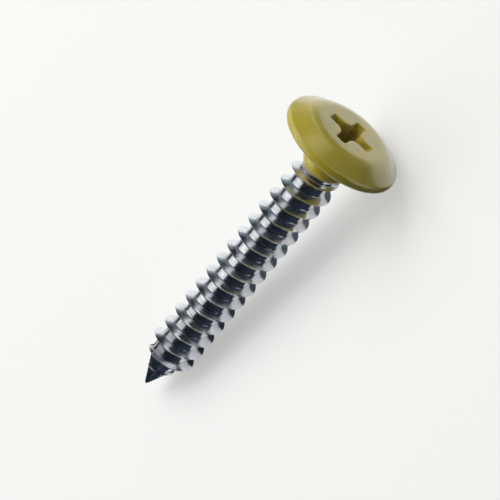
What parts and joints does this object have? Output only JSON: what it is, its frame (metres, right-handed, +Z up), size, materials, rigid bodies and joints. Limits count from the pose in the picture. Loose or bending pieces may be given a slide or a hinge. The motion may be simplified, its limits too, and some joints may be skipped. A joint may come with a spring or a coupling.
{
  "type": "flange head self-tapping screw",
  "caption": "Cross recess flange head self-tapping screw with a coarse right-hand thread and a gimlet point, its head and neck painted, for fastening thin sheet, panels and fittings.",
  "frame": {"origin": "middle of the bounding box, on the flat surface that the screw lies on", "axes": "+X runs level towards the head, +Z is up; the screw's own axis rises 6.97 degrees from the point to the head, in the XZ plane"},
  "size_m": [0.0338, 0.0116, 0.0114],
  "materials": {
    "bright_steel": "bright plated thread; the same piece's head and neck carry an olive yellow satin paint"
  },
  "bodies": {
    "root": {"screw": "bright_steel"}
  },
  "joints": []
}
